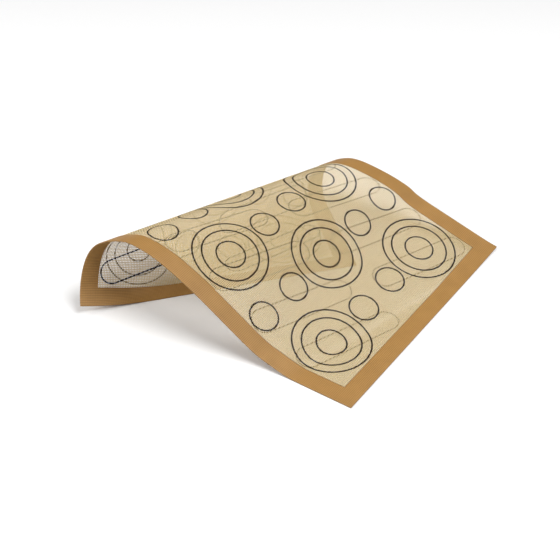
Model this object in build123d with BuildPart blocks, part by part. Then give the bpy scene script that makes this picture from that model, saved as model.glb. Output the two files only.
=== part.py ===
from build123d import *
import os
from math import atan, ceil, cos, degrees, pi, radians, sin

# A silicone baking mat, curled diagonally over on itself and lying on a table.
# It is drawn flat first and then bent. A place on the flat mat is given as along, its distance
# from the right edge, and across, its distance from the front edge. Lengths are in millimetres.

# The mat laid flat
mat_length = 400.0
mat_width = 300.0
border_width = 20.0

# Its layers: coated mesh, a silicone border on both faces, and printed guide lines
fabric_thickness = 0.6
border_film_thickness = 0.25
ink_thickness = 0.1
ink_width = 1.6
layer_gap = 0.01

# A plain grid of openings through the fabric, for its open weave. They fill a share of the
# distance between them each way.
opening_count_along = 12
opening_count_across = 9
opening_size_share = 0.4
cut_overrun = 1.2

# Round guides on the upper face, measured to the middle of the printed line
inner_ring_radius = 15.5
middle_ring_radius = 30.5
outer_ring_radius = 40.5
ring_side_column_count = 2
ring_end_gap = 2.7

# The room that the rings leave free across a column goes to the gaps between them by these
# shares, from the border inwards, and what is left goes to the middle of the column
set_column_gap_shares = [0.108, 0.081]
mid_column_gap_shares = [0.0575, 0.3915]

# Long rounded guides on the underside, leaning away from the short edges
finger_guide_length = 122.0
finger_guide_width = 25.5
finger_guide_count = 6
finger_lean_degrees = 20.5
finger_end_gap = 3.3
finger_side_gap = 1.25

# The bends, from the right edge to the left. Each row gives the middle of a bend, its width and
# how far it runs along the mat on its way from the front edge to the back, as shares of the
# mat's length. A positive angle lifts the mat, and a negative one turns it over.
bend_shares = [
    (0.09, 0.1125, -0.195),
    (0.2725, 0.1, 0.0),
    (0.4575, 0.2625, -0.315),
    (0.5975, 0.125, -0.225),
    (0.705, 0.175, -0.262),
    (0.8325, 0.275, -0.352),
    (0.905, 0.175, -0.368),
]
bend_angles = [17.5, 17.5, -27.4, -32.9, -68.4, -93.2, 8.4]

# How finely the bends and the printed lines are followed
fold_count = 800
section_spacing = 4.0
ink_section_spacing = 6.0

fold_step = mat_length / fold_count
mid_width = mat_width / 2
half_fabric = fabric_thickness / 2
print_height = half_fabric + layer_gap
bend_middles = [share[0] * mat_length for share in bend_shares]
bend_widths = [share[1] * mat_length for share in bend_shares]
bend_slants = [share[2] * mat_length / mat_width for share in bend_shares]

# Half the bare mesh inside the border each way, and the room that openings and guides take in it
bare_half_length = mat_length / 2 - border_width
bare_half_width = mat_width / 2 - border_width
opening_pitch_along = 2 * bare_half_length / opening_count_along
opening_pitch_across = 2 * bare_half_width / opening_count_across
set_size = 2 * outer_ring_radius + ink_width
single_size = 2 * inner_ring_radius + ink_width
ring_column_pitch = (bare_half_length - ring_end_gap - set_size / 2) / ring_side_column_count
finger_half_straight = (finger_guide_length - finger_guide_width) / 2
finger_half_run = finger_half_straight * sin(radians(finger_lean_degrees)) + finger_guide_width / 2
finger_half_rise = finger_half_straight * cos(radians(finger_lean_degrees)) + finger_guide_width / 2
finger_end_reach = bare_half_length - finger_end_gap - ink_width / 2 - finger_half_run
finger_row_reach = bare_half_width - finger_side_gap - ink_width / 2 - finger_half_rise
finger_guide_pitch = 2 * finger_end_reach / (finger_guide_count - 1)


def bend_rate(along):
    """Degrees of bending per millimetre, as a smooth hump over each bend."""
    rate = 0
    for middle, width, angle in zip(bend_middles, bend_widths, bend_angles):
        offset = (along - middle) / width
        if abs(offset) < 1 / 2:
            rate += angle * (1 + cos(2 * pi * offset)) / width
    return rate


def slant(along):
    """How far the straight line across the mat runs along it, per millimetre of width."""
    if along <= bend_middles[0]:
        return bend_slants[0]
    for i in range(len(bend_middles) - 1):
        start, end = bend_middles[i], bend_middles[i + 1]
        if along <= end:
            share = (along - start) / (end - start)
            return bend_slants[i] + share * (bend_slants[i + 1] - bend_slants[i])
    return bend_slants[-1]


def slant_angle(along):
    return degrees(atan(slant(along)))


def fold(along, angle):
    """A turn about the straight line that crosses the mat's middle at this distance."""
    tilt = slant_angle(along)
    turned = Location((0, 0, 0), (0, 0, tilt)) * Location((0, 0, 0), (0, angle, 0))
    return turned * Location((0, 0, 0), (0, 0, -tilt))


def walk_over_mat():
    """The place and direction of the curled mat at each small fold, along its middle."""
    here = Location((0, 0, 0))
    places = []
    for i in range(fold_count + 1):
        along = i * fold_step
        half_turn = fold(along, bend_rate(along) * fold_step / 2)
        here = here * half_turn
        places.append(here)
        here = here * half_turn * Location((-fold_step, 0, 0))
    return places


fold_places = walk_over_mat()


def on_mat(along, across):
    """The place on the curled mat of a point of the flat one, with Z out of the upper face."""

    def distance(i):
        return abs(i * fold_step + slant(i * fold_step) * (across - mid_width) - along)

    nearest = min(range(fold_count + 1), key=distance)
    return fold_places[nearest] * Location((nearest * fold_step - along, across - mid_width, 0))


def on_line(along):
    """The middle of the straight line across the mat here, with Y along that line."""
    nearest = round(along / fold_step)
    middle = fold_places[nearest] * Location((nearest * fold_step - along, 0, 0))
    return middle * Location((0, 0, 0), (0, 0, slant_angle(along)))


def line_ends(along, inset):
    """Where the straight line meets the front and back of the mat, less an inset all round."""
    front, back = inset, mat_width - inset
    if slant(along):
        ends = [mid_width + (end - along) / slant(along) for end in (inset, mat_length - inset)]
        front, back = max(front, min(ends)), min(back, max(ends))
    return front, back


def middle_of_room():
    """The middle of the floor space that the curled mat takes, at its lowest point."""
    edge_places = [on_mat(along, across) for along in (0, mat_length) for across in (0, mat_width)]
    for i in range(fold_count + 1):
        front, back = line_ends(i * fold_step, 0)
        if front < back:
            stretch = 1 / cos(radians(slant_angle(i * fold_step)))
            for across in (front, back):
                reach = (across - mid_width) * stretch
                edge_places.append(on_line(i * fold_step) * Location((0, reach, 0)))
    half_border = print_height + border_film_thickness
    points = [
        (place * Location((0, 0, height))).position
        for place in edge_places
        for height in (-half_border, half_border)
    ]
    return Location((
        (min(point.X for point in points) + max(point.X for point in points)) / 2,
        (min(point.Y for point in points) + max(point.Y for point in points)) / 2,
        min(point.Z for point in points),
    ))


# The origin is the middle of that space
to_origin = middle_of_room().inverse()
fold_places = [to_origin * place for place in fold_places]


def line_through(along, across):
    """The straight line, by its place on the mat's middle, that passes through a point."""
    low, high = -mat_length, 2 * mat_length
    while high - low > fold_step / fold_count:
        middle = (low + high) / 2
        if middle + slant(middle) * (across - mid_width) < along:
            low = middle
        else:
            high = middle
    return (low + high) / 2


def curled_layer(low, high, window_inset=0):
    """A layer of the mat between two heights above its middle, left open inside an inset."""
    first = bend_middles[0] - bend_widths[0] / 2
    last = max(middle + width / 2 for middle, width in zip(bend_middles, bend_widths))
    corners = [
        line_through(along, across)
        for inset in (0, window_inset)
        for along in (inset, mat_length - inset)
        for across in (inset, mat_width - inset)
    ]
    marks = {*bend_middles, *corners, first, last}
    breaks = sorted(mark for mark in marks if first <= mark <= last)

    with BuildPart() as layer:
        # The bent stretches, parted at corners and at the middles of the bends
        for start, end in zip(breaks, breaks[1:]):
            count = max(2, ceil((end - start) / section_spacing))
            places = [start + (end - start) * i / count for i in range(count + 1)]
            window_front, window_back = line_ends((start + end) / 2, window_inset)
            strips = [(0, 3)]
            if window_inset and window_front < window_back:
                strips = [(0, 1), (2, 3)]
            for near, far in strips:
                for along in places:
                    outer_front, outer_back = line_ends(along, 0)
                    edges = [outer_front, *line_ends(along, window_inset), outer_back]
                    stretch = 1 / cos(radians(slant_angle(along)))
                    middle = (edges[near] + edges[far]) / 2 - mid_width
                    line = Plane(on_line(along))
                    with BuildSketch(Plane(origin=line.origin, x_dir=line.y_dir, z_dir=line.x_dir)):
                        with Locations((middle * stretch, (low + high) / 2)):
                            Rectangle((edges[far] - edges[near]) * stretch, high - low)
                loft()

        # The flat stretches at the right and left ends
        for along, side in ((first, Keep.TOP), (last, Keep.BOTTOM)):
            upright = Location((0, 0, 0), (0, 0, -slant_angle(along)))
            with BuildSketch(Plane(on_line(along)).offset(low)):
                with Locations(upright * Location((along - mat_length / 2, 0, 0))):
                    Rectangle(mat_length, mat_width)
                    if window_inset:
                        Rectangle(
                            mat_length - 2 * window_inset,
                            mat_width - 2 * window_inset,
                            mode=Mode.SUBTRACT,
                        )
                split(bisect_by=Plane.YZ, keep=side)
            extrude(amount=high - low)
    return layer.part


def printed_line(outline, low):
    """A closed line of ink on the curled mat. Each point of its outline is given as along,
    across and the direction, in degrees from the mat's length, that points out of it."""
    halves = []
    middle = len(outline) // 2
    for stretch in (outline[: middle + 1], outline[middle:] + outline[:1]):
        with BuildPart() as half:
            for along, across, outwards in stretch:
                place = on_mat(along, across) * Location((0, 0, 0), (0, 0, 180 - outwards))
                with BuildSketch(Plane(place * Location((0, 0, 0), (90, 0, 0)))):
                    with Locations((0, low + ink_thickness / 2)):
                        Rectangle(ink_width, ink_thickness)
            loft()
        halves.append(half.part)
    return halves


def ring_outline(along, across, radius):
    count = 2 * ceil(pi * radius / ink_section_spacing)
    angles = [360 * i / count for i in range(count)]
    return [
        (along + radius * cos(radians(angle)), across + radius * sin(radians(angle)), angle)
        for angle in angles
    ]


def finger_outline(along, across):
    """Two half rounds joined by straight sides, leaning by finger_lean_degrees."""
    radius = finger_guide_width / 2
    axis = 90 + finger_lean_degrees
    round_count = ceil(pi * radius / ink_section_spacing)
    straight_count = ceil(2 * finger_half_straight / (2 * ink_section_spacing))
    outline = []
    for end in (1, -1):
        reach = end * finger_half_straight
        centre_along = along + reach * cos(radians(axis))
        centre_across = across + reach * sin(radians(axis))
        start = axis - 90 if end > 0 else axis + 90
        for i in range(round_count + 1):
            outwards = start + 180 * i / round_count
            outline.append((
                centre_along + radius * cos(radians(outwards)),
                centre_across + radius * sin(radians(outwards)),
                outwards,
            ))
        last_along, last_across, outwards = outline[-1]
        for i in range(1, straight_count):
            back = -end * 2 * finger_half_straight * i / straight_count
            outline.append((
                last_along + back * cos(radians(axis)),
                last_across + back * sin(radians(axis)),
                outwards,
            ))
    return outline


# The middles of the large concentric sets and of the single rings, in columns along the mat
set_middles = []
single_middles = []
for column in range(-ring_side_column_count, ring_side_column_count + 1):
    along = mat_length / 2 + column * ring_column_pitch
    if column % 2:
        # A set in the middle, with two single rings on each side
        spare = 2 * bare_half_width - set_size - 4 * single_size
        edge_gap, next_gap = [share * spare for share in mid_column_gap_shares]
        set_reaches = [0]
        single_reach = bare_half_width - edge_gap - single_size / 2
        single_reaches = [single_reach - single_size - next_gap, single_reach]
    else:
        # A set at each end, with a pair of single rings between them
        spare = 2 * (bare_half_width - set_size - single_size)
        edge_gap, next_gap = [share * spare for share in set_column_gap_shares]
        set_reaches = [bare_half_width - edge_gap - set_size / 2]
        single_reaches = [set_reaches[0] - next_gap - (set_size + single_size) / 2]
    for reach in set_reaches:
        for across in sorted({mid_width - reach, mid_width + reach}):
            set_middles.append((along, across))
    for reach in single_reaches:
        for across in (mid_width - reach, mid_width + reach):
            single_middles.append((along, across))

finger_middles = [
    (
        mat_length / 2 + (i - (finger_guide_count - 1) / 2) * finger_guide_pitch,
        mid_width + side * finger_row_reach,
    )
    for side in (-1, 1)
    for i in range(finger_guide_count)
]

opening_places = [
    on_mat(
        border_width + (i + 1 / 2) * opening_pitch_along,
        border_width + (j + 1 / 2) * opening_pitch_across,
    )
    for i in range(opening_count_along)
    for j in range(opening_count_across)
]

# The open woven glass mesh in its coat of silicone, which carries everything else
with BuildPart() as mesh_fabric:
    add(curled_layer(-half_fabric, half_fabric))
    with Locations(opening_places):
        Box(
            opening_pitch_along * opening_size_share,
            opening_pitch_across * opening_size_share,
            fabric_thickness + 2 * cut_overrun,
            mode=Mode.SUBTRACT,
        )

# The solid border, printed over the mesh on its upper face
with BuildPart() as border_upper:
    add(curled_layer(print_height, print_height + border_film_thickness, border_width))

# The same border on the underside
with BuildPart() as border_lower:
    add(curled_layer(-print_height - border_film_thickness, -print_height, border_width))

# Concentric guides on the upper face
with BuildPart() as outer_rings:
    for along, across in set_middles:
        add(printed_line(ring_outline(along, across, outer_ring_radius), print_height))

with BuildPart() as middle_rings:
    for along, across in set_middles:
        add(printed_line(ring_outline(along, across, middle_ring_radius), print_height))

with BuildPart() as inner_rings:
    for along, across in set_middles:
        add(printed_line(ring_outline(along, across, inner_ring_radius), print_height))

# Small guides that stand alone, on the upper face
with BuildPart() as single_rings:
    for along, across in single_middles:
        add(printed_line(ring_outline(along, across, inner_ring_radius), print_height))

# Long guides on the underside
with BuildPart() as finger_guides:
    for along, across in finger_middles:
        add(printed_line(finger_outline(along, across), -print_height - ink_thickness))

os.makedirs("parts", exist_ok=True)
mesh_fabric.part.label = "mesh_fabric"
export_step(mesh_fabric.part, "parts/mesh_fabric.step")
border_upper.part.label = "border_upper"
export_step(border_upper.part, "parts/border_upper.step")
border_lower.part.label = "border_lower"
export_step(border_lower.part, "parts/border_lower.step")
outer_rings.part.label = "outer_rings"
export_step(outer_rings.part, "parts/outer_rings.step")
middle_rings.part.label = "middle_rings"
export_step(middle_rings.part, "parts/middle_rings.step")
inner_rings.part.label = "inner_rings"
export_step(inner_rings.part, "parts/inner_rings.step")
single_rings.part.label = "single_rings"
export_step(single_rings.part, "parts/single_rings.step")
finger_guides.part.label = "finger_guides"
export_step(finger_guides.part, "parts/finger_guides.step")
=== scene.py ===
import bpy
import math
import numpy as np
from mathutils import Matrix, Vector


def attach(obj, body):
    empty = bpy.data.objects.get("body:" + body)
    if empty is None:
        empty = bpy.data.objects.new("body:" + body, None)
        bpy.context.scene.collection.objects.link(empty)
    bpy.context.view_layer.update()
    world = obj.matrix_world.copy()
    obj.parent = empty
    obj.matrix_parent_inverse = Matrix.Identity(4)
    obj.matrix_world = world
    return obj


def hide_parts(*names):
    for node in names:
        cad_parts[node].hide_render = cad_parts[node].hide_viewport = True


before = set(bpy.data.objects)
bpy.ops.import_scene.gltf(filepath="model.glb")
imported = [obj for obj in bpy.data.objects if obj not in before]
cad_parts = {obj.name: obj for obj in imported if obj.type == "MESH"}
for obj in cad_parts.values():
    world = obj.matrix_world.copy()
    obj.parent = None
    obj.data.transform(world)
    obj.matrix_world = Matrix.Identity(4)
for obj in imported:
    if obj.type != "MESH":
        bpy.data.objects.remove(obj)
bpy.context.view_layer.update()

mm = 0.001

# The mat, flat. Along runs from the right edge to the left, across from the front edge to the back.
mat = {
    "length": 400 * mm,
    "width": 300 * mm,
    "border": 20 * mm,
    "halfBorder": 0.56 * mm,  # from the middle of the mesh out to the face of the border
    "foldCount": 800,
    "halvings": 24,  # in the search for the straight line that a point lies on
    # middle, width and lean as shares of the length, then degrees
    "bends": [
        (0.09, 0.1125, -0.195, 17.5),
        (0.2725, 0.1, 0.0, 17.5),
        (0.4575, 0.2625, -0.315, -27.4),
        (0.5975, 0.125, -0.225, -32.9),
        (0.705, 0.175, -0.262, -68.4),
        (0.8325, 0.275, -0.352, -93.2),
        (0.905, 0.175, -0.368, 8.4),
    ],
}
bendMiddles = np.array([bend[0] * mat["length"] for bend in mat["bends"]])
bendSlants = np.array([bend[2] * mat["length"] / mat["width"] for bend in mat["bends"]])


def bendRate(along):
    # how fast the mat turns here, in radians per metre, as a sum of smooth bends
    rate = 0.0
    for middle, width, lean, angle in mat["bends"]:
        offset = (along - middle * mat["length"]) / (width * mat["length"])
        if abs(offset) < 0.5:
            rate += math.radians(angle) * (1 + math.cos(2 * math.pi * offset)) / (width * mat["length"])
    return rate


def walkOverMat():
    # turn a little about each straight line across the mat, then take a short step
    step = mat["length"] / mat["foldCount"]
    turn, place = Matrix.Identity(3), Vector((0, 0, 0))
    turns, places = [], []
    for i in range(mat["foldCount"] + 1):
        along = i * step
        tilt = math.atan(np.interp(along, bendMiddles, bendSlants))
        line = Vector((-math.sin(tilt), math.cos(tilt), 0))
        halfTurn = Matrix.Rotation(bendRate(along) * step / 2, 3, line)
        turn = turn @ halfTurn
        turns.append(np.array(turn))
        places.append(np.array(place))
        turn = turn @ halfTurn
        place = place + turn @ Vector((-step, 0, 0))
    return step, np.array(turns), np.array(places)


foldStep, foldTurns, foldPlaces = walkOverMat()


def bendPoints(flat):
    # flat holds along, across and height; gives the points of the curled mat
    along, across, height = flat.T
    low = np.full(len(along), -mat["length"])
    high = np.full(len(along), 2 * mat["length"])
    for _ in range(mat["halvings"]):
        middle = (low + high) / 2
        before = middle + np.interp(middle, bendMiddles, bendSlants) * (across - mat["width"] / 2) < along
        low = np.where(before, middle, low)
        high = np.where(before, high, middle)
    nearest = np.clip(np.rint(low / foldStep), 0, mat["foldCount"]).astype(int)
    local = np.stack([nearest * foldStep - along, across - mat["width"] / 2, height], axis=1)
    return np.einsum("nij,nj->ni", foldTurns[nearest], local) + foldPlaces[nearest]


roomSteps = {"edge": 1200, "rows": 20}


def middleOnFloor():
    # the middle of the room that the curled mat takes, at the level of its lowest point
    share = np.linspace(0, 1, roomSteps["edge"] + 1)
    lines = [(share * 0, share * mat["width"]), (share * 0 + mat["length"], share * mat["width"])]
    for row in np.linspace(0, mat["width"], roomSteps["rows"] + 1):
        lines.append((share * mat["length"], share * 0 + row))
    points = np.concatenate([
        bendPoints(np.stack([along, across, share * 0 + side * mat["halfBorder"]], axis=1))
        for along, across in lines for side in (-1, 1)
    ])
    low, high = points.min(axis=0), points.max(axis=0)
    print("mat takes", np.round((high - low) / mm, 2), "mm")
    return np.array([(low[0] + high[0]) / 2, (low[1] + high[1]) / 2, low[2]])


# the frame's origin is that middle
foldPlaces = foldPlaces - middleOnFloor()


def makeMesh(name, flat, faces, material):
    # a plain mesh bent onto the curled mat, with its flat place kept as a UV map in metres
    mesh = bpy.data.meshes.new(name)
    mesh.vertices.add(len(flat))
    mesh.vertices.foreach_set("co", bendPoints(flat).astype(np.float32).ravel())
    mesh.loops.add(faces.size)
    mesh.polygons.add(len(faces))
    mesh.loops.foreach_set("vertex_index", faces.astype(np.int32).ravel())
    mesh.polygons.foreach_set("loop_start", np.arange(0, faces.size, faces.shape[1], dtype=np.int32))
    mesh.polygons.foreach_set("use_smooth", np.full(len(faces), True))
    mesh.update(calc_edges=True)
    mesh.validate()
    mesh.materials.append(material)
    flatUv = mesh.uv_layers.new(name="flatPlace")
    flatUv.data.foreach_set("uv", flat[faces.ravel(), :2].astype(np.float32).ravel())
    piece = bpy.data.objects.new(name, mesh)
    bpy.context.scene.collection.objects.link(piece)
    return piece


# Materials

# one noise pattern for each material
seeds = {"mesh": 2.0, "border": 5.0, "brownInk": 1.0, "darkInk": 3.0}


def startMaterial(name):
    material = bpy.data.materials.new(name)
    material.use_nodes = True
    nodes, links = material.node_tree.nodes, material.node_tree.links
    nodes.clear()
    output = nodes.new("ShaderNodeOutputMaterial")
    shader = nodes.new("ShaderNodeBsdfPrincipled")
    links.new(shader.outputs[0], output.inputs["Surface"])
    return material, nodes, links, shader


def addMath(nodes, links, operation, first, second=None):
    node = nodes.new("ShaderNodeMath")
    node.operation = operation
    for socket, value in zip(node.inputs, (first, second)):
        if isinstance(value, (int, float)):
            socket.default_value = value
        elif value is not None:
            links.new(value, socket)
    return node.outputs[0]


def addNoise(nodes, links, coords, scale, detail, seed):
    noise = nodes.new("ShaderNodeTexNoise")
    noise.noise_dimensions = "4D"
    noise.inputs["W"].default_value = seed
    noise.inputs["Scale"].default_value = scale
    noise.inputs["Detail"].default_value = detail
    links.new(coords, noise.inputs["Vector"])
    return noise.outputs["Fac"]


def addMix(nodes, links, factor, first, second):
    mix = nodes.new("ShaderNodeMix")
    mix.data_type = "RGBA"
    for socket, value in ((mix.inputs[0], factor), (mix.inputs[6], first), (mix.inputs[7], second)):
        if isinstance(value, tuple):
            socket.default_value = (*value, 1)
        elif isinstance(value, (int, float)):
            socket.default_value = value
        else:
            links.new(value, socket)
    return mix.outputs[2]


meshLook = {
    "patches": 90.0,
    "patchDetail": 3.0,
    "yarn": (0.97, 0.775, 0.44),
    "yarnDeep": (0.89, 0.685, 0.35),
    # painted shade: the near-black colour that the yarn sides take, round the holes
    "rim": (0.07, 0.032, 0.008),
    "stain": (0.12, 0.06, 0.03),
    "rimShadeSpread": 0.8,
    "roughness": 0.42,
    "glow": 0.12,
    "glowReach": (0.3 * mm, 0.2 * mm, 0.1 * mm),
}


def makeMeshMaterial():
    # glass yarn in a thin coat of cream silicone, with the prints showing through, and painted shade at the
    # sides of the yarns round the holes
    material, nodes, links, shader = startMaterial("coatedMesh")
    coords = nodes.new("ShaderNodeTexCoord").outputs["Object"]
    scale, detail = meshLook["patches"], meshLook["patchDetail"]
    patchy = addNoise(nodes, links, coords, scale, detail, seeds["mesh"])
    colour = addMix(nodes, links, patchy, meshLook["yarn"], meshLook["yarnDeep"])
    # painted shade: towards the rim points the yarn colour turns to the rim colour
    rim = nodes.new("ShaderNodeAttribute")
    rim.attribute_name = "rim"
    rimShade = addMath(nodes, links, "POWER", rim.outputs["Fac"], meshLook["rimShadeSpread"])
    colour = addMix(nodes, links, rimShade, colour, meshLook["rim"])
    stain = nodes.new("ShaderNodeAttribute")
    stain.attribute_name = "stain"
    colour = addMix(nodes, links, stain.outputs["Fac"], colour, meshLook["stain"])
    links.new(colour, shader.inputs["Base Color"])
    shader.inputs["Roughness"].default_value = meshLook["roughness"]
    shader.inputs["Subsurface Weight"].default_value = meshLook["glow"]
    shader.inputs["Subsurface Radius"].default_value = meshLook["glowReach"]
    shader.inputs["Subsurface Scale"].default_value = 1.0
    return material


borderLook = {
    "tan": (0.49, 0.262, 0.072),
    # the darker tan, for the mottling and for the painted shade in the rib grooves
    "tanDeep": (0.22, 0.105, 0.023),
    "mottles": 60.0,
    "mottleDetail": 4.0,
    "roughness": 0.48,
    "ribDepth": 0.3 * mm,
    "ribStrength": 0.8,
    "ribShade": 1.6,  # how much more the ribs shade the colour than the mottling does
    "acrossShare": 0.8,  # how much of the ribbing follows the yarns that run across the mat
}


def makeBorderMaterial():
    # solid tan silicone, with the weave under it showing as faint ribs: bumps, with painted shade in their
    # grooves
    material, nodes, links, shader = startMaterial("borderSilicone")
    coords = nodes.new("ShaderNodeTexCoord").outputs["Object"]
    scale, detail = borderLook["mottles"], borderLook["mottleDetail"]
    mottle = addNoise(nodes, links, coords, scale, detail, seeds["border"])
    flatUv = nodes.new("ShaderNodeUVMap")
    flatUv.uv_map = "flatPlace"
    split = nodes.new("ShaderNodeSeparateXYZ")
    links.new(flatUv.outputs[0], split.inputs[0])
    waves = []
    for axis, pitch in ((0, weave["pitchAlong"]), (1, weave["pitchAcross"])):
        turns = addMath(nodes, links, "SUBTRACT", split.outputs[axis], weave["start"])
        turns = addMath(nodes, links, "MULTIPLY", turns, 2 * math.pi / pitch)
        waves.append(addMath(nodes, links, "COSINE", turns))
    strong = addMath(nodes, links, "MULTIPLY", waves[0], -0.5 * borderLook["acrossShare"])
    faint = addMath(nodes, links, "MULTIPLY", waves[1], -0.5 * (1 - borderLook["acrossShare"]))
    ribs = addMath(nodes, links, "ADD", strong, faint)
    ribs = addMath(nodes, links, "ADD", ribs, 0.5)
    # painted shade: the colour follows the rib height, darker in the grooves; the mottling adds random tone
    shade = addMath(nodes, links, "MULTIPLY", ribs, borderLook["ribShade"])
    shade = addMath(nodes, links, "ADD", shade, mottle)
    shade = addMath(nodes, links, "MULTIPLY", shade, 0.5)
    colour = addMix(nodes, links, shade, borderLook["tanDeep"], borderLook["tan"])
    links.new(colour, shader.inputs["Base Color"])
    bump = nodes.new("ShaderNodeBump")
    bump.inputs["Strength"].default_value = borderLook["ribStrength"]
    bump.inputs["Distance"].default_value = borderLook["ribDepth"]
    links.new(ribs, bump.inputs["Height"])
    links.new(bump.outputs[0], shader.inputs["Normal"])
    shader.inputs["Roughness"].default_value = borderLook["roughness"]
    return material


inkLook = {
    "brownInk": ((0.012, 0.007, 0.004), (0.035, 0.02, 0.012)),  # dark, then where it is worn
    "darkInk": ((0.007, 0.007, 0.012), (0.02, 0.018, 0.028)),
    "wear": 900.0,
    "wearDetail": 2.0,
    "roughness": 0.6,
    "shine": 0.2,
}


def makeInkMaterial(name):
    material, nodes, links, shader = startMaterial(name)
    coords = nodes.new("ShaderNodeTexCoord").outputs["Object"]
    worn = addNoise(nodes, links, coords, inkLook["wear"], inkLook["wearDetail"], seeds[name])
    colour = addMix(nodes, links, worn, *inkLook[name])
    links.new(colour, shader.inputs["Base Color"])
    shader.inputs["Roughness"].default_value = inkLook["roughness"]
    shader.inputs["Specular IOR Level"].default_value = inkLook["shine"]
    return material


# The open weave, made flat in strips and then bent

weave = {
    "strips": 8,
    "yarnsInStrip": 25,  # running across the mat
    "yarnsAlong": 145,
    "start": 18.5 * mm,  # the yarns end inside the border
    "yarnWidth": 0.86 * mm,
    "yarnThickness": 0.22 * mm,
    "waveHeight": 0.12 * mm,
    "yarnSides": 6,
    # the rim points get the painted shade of the mesh material
    "rimShadeFrom": 0.75,  # share of the half width beyond which a point counts as rim
}
weave["pitchAlong"] = (mat["length"] - 2 * weave["start"]) / (weave["strips"] * weave["yarnsInStrip"])
weave["pitchAcross"] = (mat["width"] - 2 * weave["start"]) / weave["yarnsAlong"]


def addNode(tree, kind, **values):
    node = tree.nodes.new(kind)
    for name, value in values.items():
        setattr(node, name, value)
    return node


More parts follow.
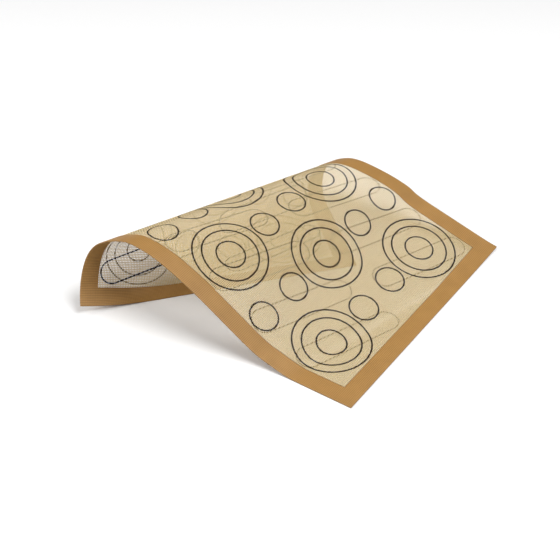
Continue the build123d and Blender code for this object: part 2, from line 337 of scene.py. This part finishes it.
def makeWeaveTree():
    tree = bpy.data.node_groups.new("weaveStrip", "GeometryNodeTree")
    sockets = {}
    for name, kind in (
        ("Pitch Along", "NodeSocketFloat"),
        ("Pitch Across", "NodeSocketFloat"),
        ("Yarns Along", "NodeSocketInt"),
        ("Yarns Across", "NodeSocketInt"),
        ("Yarn Width", "NodeSocketFloat"),
        ("Yarn Thickness", "NodeSocketFloat"),
        ("Wave Height", "NodeSocketFloat"),
        ("Material", "NodeSocketMaterial"),
    ):
        sockets[name] = tree.interface.new_socket(name=name, in_out="INPUT", socket_type=kind).identifier
    tree.interface.new_socket(name="Geometry", in_out="OUTPUT", socket_type="NodeSocketGeometry")
    given = addNode(tree, "NodeGroupInput")
    output = addNode(tree, "NodeGroupOutput")
    link = tree.links.new

    def mathNode(operation, first, second=None):
        return addMath(tree.nodes, tree.links, operation, first, second)

    def vectorNode(**parts):
        node = addNode(tree, "ShaderNodeCombineXYZ")
        for axis, value in parts.items():
            link(value, node.inputs[axis])
        return node.outputs[0]

    # a flattened section, with the points at its two sides marked as rims, which get painted shade
    section = addNode(tree, "GeometryNodeCurvePrimitiveCircle")
    section.inputs["Resolution"].default_value = weave["yarnSides"]
    section.inputs["Radius"].default_value = 1.0
    place = addNode(tree, "ShaderNodeSeparateXYZ")
    link(addNode(tree, "GeometryNodeInputPosition").outputs[0], place.inputs[0])
    marked = addNode(tree, "GeometryNodeStoreNamedAttribute", data_type="FLOAT", domain="POINT")
    marked.inputs["Name"].default_value = "rim"
    link(section.outputs["Curve"], marked.inputs["Geometry"])
    atSide = mathNode("GREATER_THAN", mathNode("ABSOLUTE", place.outputs["X"]), weave["rimShadeFrom"])
    link(atSide, marked.inputs["Value"])
    flatten = addNode(tree, "GeometryNodeTransform")
    halfWidth = mathNode("MULTIPLY", given.outputs["Yarn Width"], 0.5)
    # a six-sided circle is only this high for a radius of one
    sectionHeight = math.sin(math.pi / 3)
    halfThickness = mathNode("MULTIPLY", given.outputs["Yarn Thickness"], 0.5 / sectionHeight)
    link(marked.outputs["Geometry"], flatten.inputs["Geometry"])
    link(vectorNode(X=halfWidth, Y=halfThickness, Z=halfWidth), flatten.inputs["Scale"])

    parts = []
    for axis, other, name, crossed, pitch, otherPitch, sign in (
        ("X", "Y", "Yarns Along", "Yarns Across", "Pitch Along", "Pitch Across", 1),
        ("Y", "X", "Yarns Across", "Yarns Along", "Pitch Across", "Pitch Along", -1),
    ):
        # one yarn, with two steps to each yarn that it crosses
        steps = mathNode("ADD", mathNode("MULTIPLY", given.outputs[crossed], 2), 1)
        line = addNode(tree, "GeometryNodeMeshLine", mode="OFFSET")
        halfPitch = mathNode("MULTIPLY", given.outputs[pitch], 0.5)
        link(steps, line.inputs["Count"])
        link(vectorNode(**{axis: halfPitch}), line.inputs["Offset"])
        index = addNode(tree, "GeometryNodeInputIndex").outputs[0]
        swing = mathNode("SINE", mathNode("MULTIPLY", index, math.pi / 2))
        lift = mathNode("MULTIPLY", mathNode("MULTIPLY", swing, given.outputs["Wave Height"]), sign)
        wavy = addNode(tree, "GeometryNodeSetPosition")
        link(line.outputs["Mesh"], wavy.inputs["Geometry"])
        link(vectorNode(Z=lift), wavy.inputs["Offset"])
        curve = addNode(tree, "GeometryNodeMeshToCurve")
        link(wavy.outputs[0], curve.inputs[0])
        level = addNode(tree, "GeometryNodeSetCurveNormal", mode="Z_UP")
        link(curve.outputs[0], level.inputs[0])
        yarn = addNode(tree, "GeometryNodeCurveToMesh")
        link(level.outputs[0], yarn.inputs["Curve"])
        link(flatten.outputs[0], yarn.inputs["Profile Curve"])
        yarn.inputs["Fill Caps"].default_value = True

        # its neighbours, every other one turned over
        places = addNode(tree, "GeometryNodeMeshLine", mode="OFFSET")
        link(given.outputs[name], places.inputs["Count"])
        otherHalf = mathNode("MULTIPLY", given.outputs[otherPitch], 0.5)
        link(vectorNode(**{other: otherHalf}), places.inputs["Start Location"])
        link(vectorNode(**{other: given.outputs[otherPitch]}), places.inputs["Offset"])
        row = addNode(tree, "GeometryNodeInputIndex").outputs[0]
        turned = mathNode("MULTIPLY", mathNode("MODULO", row, 2), math.pi)
        spread = addNode(tree, "GeometryNodeInstanceOnPoints")
        link(places.outputs["Mesh"], spread.inputs["Points"])
        link(yarn.outputs[0], spread.inputs["Instance"])
        link(vectorNode(**{axis: turned}), spread.inputs["Rotation"])
        parts.append(spread.outputs[0])

    join = addNode(tree, "GeometryNodeJoinGeometry")
    for part in parts:
        link(part, join.inputs[0])
    smooth = addNode(tree, "GeometryNodeSetShadeSmooth")
    realize = addNode(tree, "GeometryNodeRealizeInstances")
    setMaterial = addNode(tree, "GeometryNodeSetMaterial")
    link(join.outputs[0], realize.inputs[0])
    link(realize.outputs[0], smooth.inputs["Geometry"])
    link(smooth.outputs[0], setMaterial.inputs["Geometry"])
    link(given.outputs["Material"], setMaterial.inputs["Material"])
    link(setMaterial.outputs[0], output.inputs[0])
    return tree, sockets


def flatWeave(tree, sockets, material):
    # one strip of weave as a plain flat mesh
    holder = bpy.data.objects.new("weaveHolder", bpy.data.meshes.new("weaveHolder"))
    bpy.context.scene.collection.objects.link(holder)
    modifier = holder.modifiers.new("weave", "NODES")
    modifier.node_group = tree
    for name, value in (
        ("Pitch Along", weave["pitchAlong"]),
        ("Pitch Across", weave["pitchAcross"]),
        ("Yarns Along", weave["yarnsAlong"]),
        ("Yarns Across", weave["yarnsInStrip"]),
        ("Yarn Width", weave["yarnWidth"]),
        ("Yarn Thickness", weave["yarnThickness"]),
        ("Wave Height", weave["waveHeight"]),
        ("Material", material),
    ):
        modifier[sockets[name]] = value
    mesh = bpy.data.meshes.new_from_object(holder.evaluated_get(bpy.context.evaluated_depsgraph_get()))
    bpy.data.objects.remove(holder)
    return mesh


# The places of the printed guides on the flat mat

rings = {
    "outer": 40.5 * mm,
    "middle": 30.5 * mm,
    "inner": 15.5 * mm,
    "columnPitch": 68 * mm,
    "pairPitch": 51 * mm,
    "setPitch": 60 * mm,
    "sideColumns": 2,
}
fingers = {
    "length": 122 * mm,
    "width": 25.5 * mm,
    "pitch": 58.5 * mm,
    "rowPitch": 140 * mm,
    "count": 6,
    "lean": 20.5,
}


def ringMiddles():
    # the middles of the sets of rings and of the single rings, column by column
    sets, singles = [], []
    for column in range(-rings["sideColumns"], rings["sideColumns"] + 1):
        along = mat["length"] / 2 + column * rings["columnPitch"]
        if column % 2:
            setReaches = [0]
            singleReaches = [rings["setPitch"], rings["setPitch"] + rings["pairPitch"]]
        else:
            setReaches = [rings["pairPitch"] / 2 + rings["setPitch"]]
            singleReaches = [rings["pairPitch"] / 2]
        for reaches, found in ((setReaches, sets), (singleReaches, singles)):
            for reach in reaches:
                for across in sorted({mat["width"] / 2 - reach, mat["width"] / 2 + reach}):
                    found.append((along, across))
    return sets, singles


setMiddles, singleMiddles = ringMiddles()
fingerMiddles = [
    (
        mat["length"] / 2 + (i - (fingers["count"] - 1) / 2) * fingers["pitch"],
        mat["width"] / 2 + row * fingers["rowPitch"] / 2,
    )
    for row in (-1, 1)
    for i in range(fingers["count"])
]


farAway = 1.0  # metres, more than any distance on the mat


def distanceToRings(flat):
    nearest = np.full(len(flat), farAway)
    for middles, radii in ((setMiddles, ("outer", "middle", "inner")), (singleMiddles, ("inner",))):
        for along, across in middles:
            reach = np.hypot(flat[:, 0] - along, flat[:, 1] - across)
            for radius in radii:
                nearest = np.minimum(nearest, np.abs(reach - rings[radius]))
    return nearest


def distanceToFingers(flat):
    nearest = np.full(len(flat), farAway)
    axis = math.radians(90 + fingers["lean"])
    radius = fingers["width"] / 2
    halfStraight = fingers["length"] / 2 - radius
    for along, across in fingerMiddles:
        x, y = flat[:, 0] - along, flat[:, 1] - across
        lengthwise = x * math.cos(axis) + y * math.sin(axis)
        sideways = -x * math.sin(axis) + y * math.cos(axis)
        over = np.maximum(np.abs(lengthwise) - halfStraight, 0)
        nearest = np.minimum(nearest, np.abs(np.hypot(over, sideways) - radius))
    return nearest


ghost = {
    "reach": 0.9 * mm,
    "spread": 1.6,  # in reaches, from the middle of the line to where the ink stops showing
    "fromBelow": 0.14,
    "fromAbove": 0.5,
    "facing": 0.1,  # least slope of a face that looks up or down
}


def addStain(piece, flat, upward):
    # the ink shows a little through to the other face of the yarn
    ringFade, fingerFade = [
        np.clip(ghost["spread"] - distance / ghost["reach"], 0, 1)
        for distance in (distanceToRings(flat), distanceToFingers(flat))
    ]
    stain = np.where(upward <= -ghost["facing"], ringFade * ghost["fromAbove"], 0)
    stain = np.maximum(stain, np.where(upward >= ghost["facing"], fingerFade * ghost["fromBelow"], 0))
    layer = piece.data.attributes.new("stain", "FLOAT", "POINT")
    layer.data.foreach_set("value", stain.astype(np.float32))


def makeWeave(material):
    tree, sockets = makeWeaveTree()
    strip = flatWeave(tree, sockets, material)
    count = len(strip.vertices)
    points = np.empty(count * 3, np.float32)
    normals = np.empty(count * 3, np.float32)
    strip.vertices.foreach_get("co", points)
    strip.vertices.foreach_get("normal", normals)
    points, normals = points.reshape(-1, 3).astype(float), normals.reshape(-1, 3)
    lowest, highest = points[:, 2].min() / mm, points[:, 2].max() / mm
    print("flat strip", count, "points, height", np.round(lowest, 3), np.round(highest, 3))
    pieces = []
    for i in range(weave["strips"]):
        mesh = strip.copy()
        mesh.name = f"weave_{i + 1}"
        flat = points.copy()
        upward = normals[:, 2]
        # the over and under goes on from the strip before, so every other strip is turned over
        if i * weave["yarnsInStrip"] % 2:
            flat[:, 2] *= -1
            upward = -upward
            mesh.flip_normals()
        flat[:, 0] += weave["start"] + i * weave["yarnsInStrip"] * weave["pitchAlong"]
        flat[:, 1] += weave["start"]
        mesh.vertices.foreach_set("co", bendPoints(flat).astype(np.float32).ravel())
        # along runs against X, so the faces are turned to point outwards again
        mesh.flip_normals()
        piece = bpy.data.objects.new(f"weave_{i + 1}", mesh)
        bpy.context.scene.collection.objects.link(piece)
        addStain(piece, flat, upward)
        mesh.update()
        pieces.append(piece)
    print("weave", len(pieces), "strips of", len(strip.polygons), "faces")
    return pieces


noYarn = -1.0  # metres, lower than any yarn


def yarnFace(along, across, side):
    # how far the yarns stand out on this side of the weave's middle, or noYarn over a hole
    u = (along - weave["start"]) / weave["pitchAlong"]
    v = (across - weave["start"]) / weave["pitchAcross"]
    best = np.full(len(along), noYarn)
    halfWidth, halfThick = weave["yarnWidth"] / 2, weave["yarnThickness"] / 2
    for here, beside, pitch, sign in (
        (u, v, weave["pitchAcross"], side),
        (v, u, weave["pitchAlong"], -side),
    ):
        row = np.floor(beside)
        off = np.abs(beside - row - 0.5) * pitch / halfWidth
        middle = sign * weave["waveHeight"] * np.sin(math.pi * here) * np.where(row % 2 > 0, -1, 1)
        face = middle + halfThick * np.clip((1 - off) * 2, 0, 1)
        best = np.maximum(best, np.where(off < 1, face, noYarn))
    return best


inkSettings = {
    "cell": 0.27 * mm,
    "lines": 8,  # of cells, side by side along the line
    "reach": 2.1 * mm,  # over all of them
    "raised": 0.1 * mm,  # ink creeps sideways where the yarns stand higher than this
    "proud": 0.06 * mm,
    "overHole": 0.02 * mm,
    "frayed": 0.16,  # share of the outermost cells that are missing
}


def makePrint(name, outlines, material, side, random):
    # the middle of a line bridges the holes, and its edges lie only where there is yarn under them
    flats, faces, used = [], [], 0
    lines = inkSettings["lines"]
    width = lines + 1
    reach = np.linspace(-0.5, 0.5, width) * inkSettings["reach"]
    for points, outwards in outlines:
        count = len(points)
        grid = points[:, None, :] + outwards[:, None, :] * reach[None, :, None]
        pairs = grid + np.roll(grid, -1, axis=0)
        middle = pairs[:, :-1] / 4 + pairs[:, 1:] / 4
        heights = yarnFace(*middle.reshape(-1, 2).T, side).reshape(count, lines)
        keep = np.full((count, lines), True)
        for edge, beside in ((0, 1), (-1, -2)):
            keep[:, beside] = heights[:, beside] > 0
            keep[:, edge] = heights[:, edge] > inkSettings["raised"]
            keep[:, edge] &= random.random(count) > inkSettings["frayed"]
        rows, columns = np.nonzero(keep)
        here, following = rows * width + columns, (rows + 1) % count * width + columns
        quads = np.stack([here, following, following + 1, here + 1], axis=1)
        flat = np.concatenate([grid.reshape(-1, 2), np.zeros((count * width, 1))], axis=1)
        face = yarnFace(flat[:, 0], flat[:, 1], side)
        flat[:, 2] = side * (np.where(face > noYarn, face, inkSettings["overHole"]) + inkSettings["proud"])
        flats.append(flat)
        faces.append(quads + used)
        used += len(flat)
    flat, quads = np.concatenate(flats), np.concatenate(faces)
    kept, quads = np.unique(quads, return_inverse=True)
    quads = quads.reshape(-1, 4)
    if side < 0:
        quads = quads[:, ::-1]
    return makeMesh(name, flat[kept], quads, material)


def ringOutline(middle, radius):
    count = round(2 * math.pi * radius / inkSettings["cell"])
    angle = np.arange(count) * 2 * math.pi / count
    outwards = np.stack([np.cos(angle), np.sin(angle)], axis=1)
    return np.array(middle) + outwards * radius, outwards


def fingerOutline(middle):
    # half a circle and a straight side, twice
    radius = fingers["width"] / 2
    halfStraight = fingers["length"] / 2 - radius
    axis = math.radians(90 + fingers["lean"])
    lengthwise = np.array([math.cos(axis), math.sin(axis)])
    roundCount = round(math.pi * radius / inkSettings["cell"])
    straightCount = round(2 * halfStraight / inkSettings["cell"])
    points, normals = [], []
    for end in (1, -1):
        start = axis - math.pi / 2 if end > 0 else axis + math.pi / 2
        angle = start + math.pi * np.arange(roundCount) / roundCount
        outwards = np.stack([np.cos(angle), np.sin(angle)], axis=1)
        points.append(np.array(middle) + end * halfStraight * lengthwise + outwards * radius)
        normals.append(outwards)
        side = np.array([math.cos(start + math.pi), math.sin(start + math.pi)])
        along = np.arange(straightCount) / straightCount
        points.append(
            np.array(middle) + side * radius + end * halfStraight * (1 - 2 * along)[:, None] * lengthwise
        )
        normals.append(np.repeat(side[None, :], straightCount, axis=0))
    return np.concatenate(points), np.concatenate(normals)


# The border, a film on each face that closes round the edge of the mesh

film = {
    "edgeRound": 0.35 * mm,
    "innerHeight": 0.3 * mm,
    "tooth": 0.42 * mm,
    "linesInMm": [0, 0.06, 0.2, 0.35, 2, 5, 8, 11, 14, 17, 18.6, 19.5, 20],  # from the edge inwards
    "inset": 0.001 * mm,
    "leastGapShare": 1 / 8,  # of a pitch, from the border to the first line inside it
}


def filmLines(size, pitch):
    # lines over the border, then one for each half pitch of the weave
    side = np.array(film["linesInMm"]) * mm
    halves = 2 * round((size - 2 * weave["start"]) / pitch)
    inner = weave["start"] + np.arange(1, halves) * pitch / 2
    least = mat["border"] + pitch * film["leastGapShare"]
    inner = inner[(inner > least) & (inner < size - least)]
    return np.concatenate([side, inner, size - side[::-1]])


def creep(place, beside, size, sizeBeside, pitch):
    # the film creeps inwards along the yarns, which gives its inner edge teeth
    tooth = -film["tooth"] * np.cos((beside - weave["start"]) * 2 * math.pi / pitch)
    least = mat["border"] + film["inset"]
    free = (beside > least) & (beside < sizeBeside - least)
    near = free & (np.abs(place - mat["border"]) < film["inset"])
    far = free & (np.abs(size - mat["border"] - place) < film["inset"])
    return place + np.where(near, tooth, 0) - np.where(far, tooth, 0)


def makeFilm(name, material, side):
    alongs = filmLines(mat["length"], weave["pitchAlong"])
    acrosses = filmLines(mat["width"], weave["pitchAcross"])
    along, across = np.meshgrid(alongs, acrosses, indexing="ij")
    fromEdge = np.minimum.reduce([along, mat["length"] - along, across, mat["width"] - across])
    rounding = np.clip(1 - fromEdge / film["edgeRound"], 0, 1)
    height = mat["halfBorder"] - film["edgeRound"] * (1 - np.sqrt(1 - rounding**2))
    window = fromEdge > mat["border"] - film["inset"]
    height = np.where(window, film["innerHeight"], height)
    across = creep(across, along, mat["width"], mat["length"], weave["pitchAlong"])
    along = creep(along, across, mat["length"], mat["width"], weave["pitchAcross"])
    count = len(acrosses)
    first = (np.arange(len(alongs) - 1)[:, None] * count + np.arange(count - 1)[None, :]).ravel()
    quads = np.stack([first, first + 1, first + count + 1, first + count], axis=1)
    inside = window.ravel()[quads].all(axis=1)
    quads = quads[~inside]
    flat = np.stack([along.ravel(), across.ravel(), height.ravel()], axis=1)
    kept, quads = np.unique(quads, return_inverse=True)
    quads = quads.reshape(-1, 4)
    flat = flat[kept]
    total = len(flat)
    under = flat.copy()
    under[:, 2] = 0
    # walls round both edges join the film's face to the middle of the mesh
    edges = np.concatenate([quads[:, [0, 1]], quads[:, [1, 2]], quads[:, [2, 3]], quads[:, [3, 0]]])
    ordered = np.sort(edges, axis=1)
    keys = ordered[:, 0] * total + ordered[:, 1]
    _, where, uses = np.unique(keys, return_index=True, return_counts=True)
    rim = edges[where[uses == 1]]
    walls = np.stack([rim[:, 1], rim[:, 0], rim[:, 0] + total, rim[:, 1] + total], axis=1)
    flat = np.concatenate([flat, under])
    faces = np.concatenate([quads, quads[:, ::-1] + total, walls])
    flat[:, 2] *= side
    if side < 0:
        faces = faces[:, ::-1]
    return makeMesh(name, flat, faces, material)


meshMaterial = makeMeshMaterial()
borderMaterial = makeBorderMaterial()
brownInk = makeInkMaterial("brownInk")
darkInk = makeInkMaterial("darkInk")

weavePieces = makeWeave(meshMaterial)
upperFilm = makeFilm("borderUpper", borderMaterial, 1)
lowerFilm = makeFilm("borderLower", borderMaterial, -1)
print("border films", len(upperFilm.data.polygons), "faces each")

random = np.random.default_rng(7)
prints = {}
for node, name, middles, radius in (
    ("outer_rings", "outerRings", setMiddles, "outer"),
    ("middle_rings", "middleRings", setMiddles, "middle"),
    ("inner_rings", "innerRings", setMiddles, "inner"),
    ("single_rings", "singleRings", singleMiddles, "inner"),
):
    outlines = [ringOutline(middle, rings[radius]) for middle in middles]
    prints[node] = makePrint(name, outlines, brownInk, 1, random)
outlines = [fingerOutline(middle) for middle in fingerMiddles]
prints["finger_guides"] = makePrint("fingerGuides", outlines, darkInk, -1, random)
print("prints", {name: len(piece.data.polygons) for name, piece in prints.items()})

for piece in weavePieces:
    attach(piece, "root")
    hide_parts("mesh_fabric")
for piece, node in ((upperFilm, "border_upper"), (lowerFilm, "border_lower")):
    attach(piece, "root")
    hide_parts(node)
for node, piece in prints.items():
    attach(piece, "root")
    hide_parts(node)

# Floor, lights and camera

studio = {
    "floorSize": 6.0,
    "floorColour": (0.7, 0.7, 0.7),
    "floorSeen": (1.0, 1.0, 1.0),
    "worldColour": (1.0, 1.0, 1.0),
    "worldStrength": 0.2,
    "lampSize": 1.2,
    # name, place, watts
    "lamps": [
        ("rightLight", (0.915, 0.211, 1.766), 30.1),
        ("leftLight", (-0.939, 0.0, 1.766), 6.5),
        ("frontLight", (-1.158, -1.158, 1.147), 17.6),
    ],
    "target": Vector((-8.91 * mm, -9.4 * mm, 0.68 * mm)),
    "azimuth": 35.833,
    "elevation": 38.625,
    "distance": 1210.6 * mm,
    "roll": -1.144,
    "lens": 72.8,
    "sensorWidth": 36.0,
    "clipStart": 0.05,
    "clipEnd": 50.0,
}


def makeFloor():
    half = studio["floorSize"] / 2
    mesh = bpy.data.meshes.new("floor")
    corners = [(-half, -half, 0), (half, -half, 0), (half, half, 0), (-half, half, 0)]
    mesh.from_pydata(corners, [], [(0, 1, 2, 3)])
    material = bpy.data.materials.new("floorWhite")
    material.use_nodes = True
    nodes, links = material.node_tree.nodes, material.node_tree.links
    nodes.clear()
    output = nodes.new("ShaderNodeOutputMaterial")
    diffuse = nodes.new("ShaderNodeBsdfDiffuse")
    rays = nodes.new("ShaderNodeLightPath")
    # the camera sees the floor as white where nothing shades it
    colour = addMix(nodes, links, rays.outputs["Is Camera Ray"], studio["floorColour"], studio["floorSeen"])
    links.new(colour, diffuse.inputs["Color"])
    links.new(diffuse.outputs[0], output.inputs["Surface"])
    mesh.materials.append(material)
    floor = bpy.data.objects.new("floor", mesh)
    bpy.context.scene.collection.objects.link(floor)


def makeLights():
    world = bpy.data.worlds.new("studio")
    bpy.context.scene.world = world
    world.use_nodes = True
    background = world.node_tree.nodes["Background"]
    background.inputs["Color"].default_value = (*studio["worldColour"], 1)
    rays = world.node_tree.nodes.new("ShaderNodeLightPath")
    strength = world.node_tree.nodes.new("ShaderNodeMix")
    strength.inputs[2].default_value = studio["worldStrength"]
    strength.inputs[3].default_value = 1.0
    world.node_tree.links.new(rays.outputs["Is Camera Ray"], strength.inputs[0])
    world.node_tree.links.new(strength.outputs[0], background.inputs["Strength"])
    for name, place, watts in studio["lamps"]:
        lamp = bpy.data.lights.new(name, "AREA")
        lamp.shape = "DISK"
        lamp.size = studio["lampSize"]
        lamp.energy = watts
        holder = bpy.data.objects.new(name, lamp)
        holder.location = place
        holder.rotation_mode = "QUATERNION"
        holder.rotation_quaternion = Vector(place).to_track_quat("Z", "Y")
        bpy.context.scene.collection.objects.link(holder)


def makeCamera():
    azimuth, elevation = math.radians(studio["azimuth"]), math.radians(studio["elevation"])
    back = Vector((
        math.sin(azimuth) * math.cos(elevation),
        -math.cos(azimuth) * math.cos(elevation),
        math.sin(elevation),
    ))
    right = Vector((math.cos(azimuth), math.sin(azimuth), 0))
    up = back.cross(right)
    roll = math.radians(studio["roll"])
    right, up = right * math.cos(roll) + up * math.sin(roll), up * math.cos(roll) - right * math.sin(roll)
    camera = bpy.data.objects.new("camera", bpy.data.cameras.new("camera"))
    camera.data.lens = studio["lens"]
    camera.data.sensor_width = studio["sensorWidth"]
    camera.data.clip_start = studio["clipStart"]
    camera.data.clip_end = studio["clipEnd"]
    turn = Matrix((right, up, back)).transposed()
    camera.matrix_world = Matrix.Translation(studio["target"] + back * studio["distance"]) @ turn.to_4x4()
    bpy.context.scene.collection.objects.link(camera)
    bpy.context.scene.camera = camera


makeFloor()
makeLights()
makeCamera()
bpy.context.scene.view_settings.view_transform = "Standard"
print("floor, lights and camera are in")
